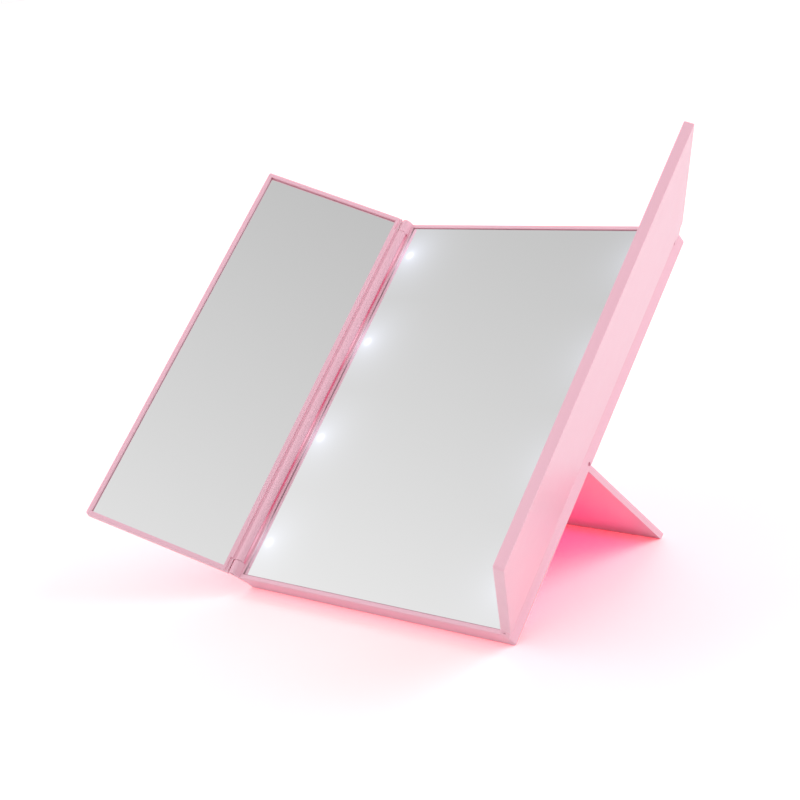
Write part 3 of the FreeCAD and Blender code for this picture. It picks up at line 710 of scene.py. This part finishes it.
def wingShell():
    high = panel["height"]
    low, top = wing["earClear"], high - wing["earClear"]
    neck = wing["inner"] + wing["neckStep"]
    reach = math.sqrt(hinge["radius"] ** 2 - neck ** 2)
    bm = bmesh.new()
    bmesh.ops.spin(
        bm, geom=[bm.verts.new(onWing(reach, low, neck))], cent=onWing(0, low, 0),
        axis=upward, angle=math.atan2(neck, reach) - math.radians(270),
        steps=fineness["barrel"],
    )
    bm.verts.ensure_lookup_table()
    barrel = bm.verts[:]
    spots = {
        name: bm.verts.new(onWing(a, low, b))
        for name, a, b in (
            ("shoulder", hinge["radius"], wing["outer"]),
            ("cornerOuter", wing["earSide"], wing["outer"]),
            ("rimOuter", wing["rimNotch"], wing["outer"]),
            ("endOuter", wing["end"], wing["outer"]),
            ("endInner", wing["end"], wing["inner"]),
            ("rimInner", wing["rimNotch"], wing["inner"]),
            ("rimStart", wing["neckEnd"], wing["inner"]),
            ("rimNeck", wing["rimNotch"], neck),
            ("neckStart", wing["neckEnd"], neck),
            ("cornerInner", wing["earSide"], neck),
        )
    }
    for names in (
        ("cornerOuter", "rimOuter", "rimNeck", "neckStart", "cornerInner"),
        ("neckStart", "rimNeck", "rimInner", "rimStart"),
        ("rimOuter", "endOuter", "endInner", "rimInner", "rimNeck"),
    ):
        bm.faces.new([spots[name] for name in names])
    bm.faces.new(barrel + [spots[name] for name in ("shoulder", "cornerOuter", "cornerInner")])
    pull(bm, bm.faces[:], (0, 0, top - low))
    bmesh.ops.recalc_face_normals(bm, faces=bm.faces)

    def besideEar(x, v, d):
        # the tray and the corner beside each ear, where the rim stands further back
        a = hinge["x"] - x
        return a > wing["rimNotch"] or (a > wing["earSide"] and d > hinge["d"] + neck)

    pull(bm, facing(bm, upward, besideEar), (0, 0, high - top))
    pull(bm, facing(bm, downward, besideEar), (0, 0, -low))
    wellEnd = wing["end"] - wing["rim"]
    for a in (wing["glassStart"], wellEnd):
        cutAcross(bm, onWing(a, 0, 0), rightward)
    for v in (wing["rim"], high - wing["rim"]):
        cutAcross(bm, onWing(0, v, 0), upward)

    def insideRim(x, v, d):
        a = hinge["x"] - x
        return wing["glassStart"] < a < wellEnd and wing["rim"] < v < high - wing["rim"]

    pull(bm, facing(bm, backward, insideRim), (0, -wing["wellDepth"], 0))
    rimLevel = hinge["d"] + wing["inner"]

    def atFreeCorner(x, v, d):
        return hinge["x"] - x > wing["end"] - near and (v < near or v > high - near)

    def onOutline(x, v, d):
        a = hinge["x"] - x
        inRim = wing["glassStart"] - near < a < wellEnd + near
        onNeck = a < wing["neckEnd"] + near and d < hinge["d"] + neck + near
        onBarrel = a < wing["earSide"] - near
        inWell = inRim and wing["rim"] - near < v < high - wing["rim"] + near
        return not (inWell or onNeck or onBarrel)

    def besideBarrel(edge):
        return all(abs(hinge["x"] - end.co.x - wing["earSide"]) < near for end in edge.verts)

    roundOff(bm, creases(bm, atFreeCorner), panel["cornerRadius"], fineness["corner"])
    outline = [edge for edge in creases(bm, onOutline) if not besideBarrel(edge)]
    roundOff(bm, outline, wing["outerRound"])
    rims = creases(bm, lambda x, v, d: d < rimLevel + near)
    roundOff(bm, rims, wing["innerRound"], fineness["fineEdge"])
    boreLength = wing["boreDepth"] + overshoot
    bores = [
        bar(onWing(0, v, 0), onWing(0, v + side * boreLength, 0), wing["bore"])
        for v, side in ((low - overshoot, 1), (top + overshoot, -1))
    ]
    bm = combined(bm, bores, "DIFFERENCE")

    def atWellEnd(x, v, d):
        atEnd = min(abs(v - wing["rim"]), abs(v - high + wing["rim"])) < 2 * near
        return atEnd and d < rimLevel + wing["wellDepth"]

    # the top and bottom walls of the wing's well get the painted shade of the recess walls
    paint(bm, [upward, downward], atWellEnd, 1)
    return bm


glass = {
    "depth": 2.4, "recess": 0.65, "wingRecess": 1.35, "gap": 0.25, "wingGap": 0.15,
    "corner": 0.5, "arris": 0.1, "shiningTurn": 0.6,
}


def glassPlate(x0, x1, v0, v1, d0, d1, shining):
    # a mirror on the side that looks the shining way, with ground edges
    bm = slab(x0, x1, v0, v1, d0, d1)
    corners = [edge for edge in bm.edges if runBack(edge) > near]
    roundOff(bm, corners, glass["corner"], fineness["glassCorner"])
    roundOff(bm, creases(bm, lambda x, v, d: True), glass["arris"], fineness["arris"])
    for face in bm.faces:
        face.material_index = 0 if face.normal.dot(shining) > glass["shiningTurn"] else 1
    return bm


def wingGlass():
    inner = hinge["d"] + wing["inner"] + glass["wingRecess"]
    outer = hinge["d"] + wing["inner"] + glass["depth"]
    return glassPlate(
        hinge["x"] - wing["end"] + wing["rim"] + glass["wingGap"],
        hinge["x"] - wing["glassStart"] - glass["wingGap"],
        wing["rim"] + glass["wingGap"], panel["height"] - wing["rim"] - glass["wingGap"],
        inner, outer, backward,
    )


def centreGlass():
    side = panel["halfWidth"] - housing["wall"] - glass["gap"]
    return glassPlate(
        -side, side,
        housing["wall"] + glass["gap"], panel["height"] - housing["wall"] - glass["gap"],
        panel["depth"] - glass["depth"], panel["depth"] - glass["recess"], forward,
    )


for side, place in (("left", leftWingPlace), ("right", rightWingPlace)):
    newPiece(
        side + "WingShell", wingShell(), place, side + "_wing",
        [pinkPlastic, recessShadePlastic], [side + "_wing_shell"],
    )
    newPiece(
        side + "WingGlass", wingGlass(), place, side + "_wing",
        [wingMirror, glassEdge], [side + "_wing_mirror"],
    )
newPiece(
    "centreGlass", centreGlass(), panelPlace, "centre_panel",
    [centreMirror, glassEdge], ["centre_mirror"],
)
print("wings and glass made")


# the stand's leg, as it lies folded into the panel
leg = {
    "halfWidth": 67.9, "endRise": 9.0, "thickness": 2.8, "gripHalfWidth": 12.0,
    "gripDepth": 1.2, "edgeRound": 0.35,
}


def standLeg():
    half = leg["thickness"] / 2
    low = leg["endRise"] + leg["gripDepth"]
    bm = slab(
        -leg["halfWidth"], leg["halfWidth"], low, stand["pivotV"] + half,
        stand["pivotD"] - half, stand["pivotD"] + half,
    )
    for side in (-1, 1):
        cutAcross(bm, at(side * leg["gripHalfWidth"], 0, 0), rightward)
    besideGrip = facing(bm, downward, lambda x, v, d: abs(x) > leg["gripHalfWidth"])
    pull(bm, besideGrip, (0, 0, -leg["gripDepth"]))
    top = creases(bm, lambda x, v, d: v > stand["pivotV"] + half - near)
    knuckle = [edge for edge in top if runBack(edge) < near]
    roundOff(bm, knuckle, half - near / 2, fineness["knuckle"])  # so that the rounds don't meet
    roundOff(bm, creases(bm, lambda x, v, d: True), leg["edgeRound"])
    return bm


newPiece(
    "standLeg", standLeg(), standPlace, "stand", [pinkPlastic], ["stand_leg"],
    onTable=True,
)
print("stand made")


carried = {  # finishes of the pieces that stay as the frame has them
    "rear_cover": pinkPlastic, "battery_door": pinkPlastic, "power_button": buttonPlastic,
    "case_screws": screwSteel, "battery_door_screw": screwSteel,
    "hinge_pin_bottom_left": pinSteel, "hinge_pin_bottom_right": pinSteel,
    "hinge_pin_top_left": pinSteel, "hinge_pin_top_right": pinSteel,
    "stand_pin_left": pinEnamel, "stand_pin_right": pinEnamel,
    "coin_cell_left": cellSteel, "coin_cell_right": cellSteel,
    "minus_contact": contactPlating, "plus_contact": contactPlating,
    "switch_leads": contactPlating, "switch_body": switchBlack,
    "centre_tape": foamTape, "left_wing_tape": foamTape, "right_wing_tape": foamTape,
    "light_diffusers_left": frostedAcrylic, "light_diffusers_right": frostedAcrylic,
    "led_board_left": boardMask, "led_board_right": boardMask,
    "leds_left": lightChip, "leds_right": lightChip, "led_resistors": resistorCeramic,
    "plus_wire": redWire, "switched_wire": redWire, "minus_wire": blackWire,
    "link_wires": blackWire,
}
for node, material in carried.items():
    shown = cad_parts[node]
    shown.data.materials.clear()
    shown.data.materials.append(material)
print("carried pieces finished")


# The camera sees the table in the shown colour, which lifts the lit table to white and paints its
# shadow pink; the mirrors show the mirrored one, and its own colour, pale pink to stand in for pink
# light thrown back by the plastic, is what lights the object from below.
table = {
    "size": 40.0, "colour": (0.8, 0.74, 0.75, 1), "mirroredColour": (0.95, 0.95, 0.95, 1),
    "shownWithPinkShadow": (2.6, 1.03, 1.05, 1),
}
sky = {"level": 0.69, "colour": (1.0, 1.0, 1.0, 1)}
mirroredSky = {  # what the mirrors show gets darker along the slope, between two levels
    "slope": (0.0382, 0.3816, 0.3395), "start": 1.067, "span": 1.055, "curve": 2.4,
    "darkest": 0.15, "brightest": 1.05,
}
lamps = {  # where each one shines from: 0 degrees is the right side and 90 is behind
    "backRight": {"bearing": 45, "height": 30, "level": 1.36, "angle": 50},
    "backLeft": {"bearing": 135, "height": 30, "level": 0.75, "angle": 50},
    "frontLeft": {"bearing": 225, "height": 30, "level": 0.72, "angle": 50},
}
bounces = {  # pink light that the faces near the table throw at each other, from (x, v, d)
    "behind": {
        "size": (0.13, 0.06), "middle": (0, 38, -2.0), "towards": (0, 1, 0),
        "level": 1.05, "colour": (1.0, 0.03, 0.10),
    },
    "below": {
        "size": (0.13, 0.06), "middle": (0, 51.15, -40.3), "towards": (0, -0.771, 0.637),
        "level": 0.45, "colour": (1.0, 0.02, 0.26),
    },
    "leg": {
        "size": (0.13, 0.04), "middle": (0, 76.6, -39.5), "towards": (0, 0.07, -1),
        "level": 0.1, "colour": (0.6, 0.02, 1.0),
    },
    "before": {
        "size": (0.14, 0.006), "middle": (0, -4, 6), "towards": (0, 0.3, 1),
        "level": 0.4, "colour": (1.0, 0.02, 0.14),
    },
}
viewpoint = {
    "azimuth": 43.10, "elevation": 16.48, "roll": -9.01, "distance": 0.58133,
    "target": (0.031855, -0.000095, 0.091798), "lens": 71.58, "sensor": 36,
}


def seenRays(finish):
    # rays from the camera, and rays that a mirror or a clear piece sends on
    def ray(kind):
        return finish.node("ShaderNodeLightPath", {}, {}, output=kind)

    glossy = ray("Is Glossy Ray")
    return ray("Is Camera Ray"), glossy.maths("MAXIMUM", glossy, ray("Is Transmission Ray"))


bm = bmesh.new()
bmesh.ops.create_grid(bm, x_segments=1, y_segments=1, size=table["size"] / 2)
tableTop = holder(bm, "tableTop")
finish = newFinish("whiteTable")
cameraRay, sentOnRay = seenRays(finish)
colour = finish.blend(sentOnRay, table["colour"], table["mirroredColour"])
# shown colour: white where the table is lit, painted pink in its shadow
colour = finish.blend(cameraRay, colour, table["shownWithPinkShadow"])
surface = finish.node("ShaderNodeBsdfDiffuse", {}, {"Color": colour})
finish.node("ShaderNodeOutputMaterial", {}, {"Surface": surface})
tableTop.data.materials.append(finish.material)

world = bpy.data.worlds.new("studio")
bpy.context.scene.world = world
world.use_nodes = True
studio = Finish(world.node_tree)
direction = studio.node("ShaderNodeTexCoord", {}, {}, output="Generated")
slope = studio.node(
    "ShaderNodeVectorMath", {"operation": "DOT_PRODUCT"},
    {0: direction, 1: mirroredSky["slope"]}, output="Value",
)
seenInGlass = ((mirroredSky["start"] - slope) / mirroredSky["span"]) ** mirroredSky["curve"]
seenInGlass = studio.node("ShaderNodeClamp", {}, {
    "Value": seenInGlass / silvered["colour"][0],
    "Min": mirroredSky["darkest"], "Max": mirroredSky["brightest"],
})
cameraRay, sentOnRay = seenRays(studio)
level = sky["level"] + sentOnRay * (seenInGlass - sky["level"])
level = level + cameraRay * (1 - level)
background = studio.node("ShaderNodeBackground", {}, {"Color": sky["colour"], "Strength": level})
studio.node("ShaderNodeOutputWorld", {}, {"Surface": background})


def shineFrom(name, lamp, towards, place=(0, 0, 0)):
    thing = bpy.data.objects.new(name, lamp)
    thing.location = place
    thing.rotation_mode = "QUATERNION"
    thing.rotation_quaternion = Vector(towards).to_track_quat("-Z", "Y")
    thing.visible_glossy = False
    thing.visible_camera = False
    bpy.context.scene.collection.objects.link(thing)


for name, values in lamps.items():
    lamp = bpy.data.lights.new(name, "SUN")
    lamp.energy = values["level"]
    lamp.angle = math.radians(values["angle"])
    bearing, height = math.radians(values["bearing"]), math.radians(values["height"])
    flat = -math.cos(height)
    shineFrom(name, lamp, (flat * math.cos(bearing), flat * math.sin(bearing), -math.sin(height)))
for name, values in bounces.items():
    lamp = bpy.data.lights.new(name, "AREA")
    lamp.shape = "RECTANGLE"
    lamp.size, lamp.size_y = values["size"]
    lamp.energy = values["level"] * math.pi * lamp.size * lamp.size_y
    lamp.color = values["colour"]
    towards = panelPlace.to_3x3().normalized() @ Vector(values["towards"])
    shineFrom(name, lamp, towards, panelPlace @ at(*values["middle"]))

camera = bpy.data.objects.new("camera", bpy.data.cameras.new("camera"))
camera.data.lens = viewpoint["lens"]
camera.data.sensor_width = viewpoint["sensor"]
camera.matrix_world = (
    Matrix.Translation(viewpoint["target"])
    @ Matrix.Rotation(math.radians(viewpoint["azimuth"]), 4, "Z")
    @ Matrix.Rotation(math.radians(90 - viewpoint["elevation"]), 4, "X")
    @ Matrix.Rotation(math.radians(viewpoint["roll"]), 4, "Z")
    @ Matrix.Translation((0, 0, viewpoint["distance"]))
)
bpy.context.scene.collection.objects.link(camera)
bpy.context.scene.camera = camera
bpy.context.scene.view_settings.view_transform = "Standard"
print("table, light and camera set")
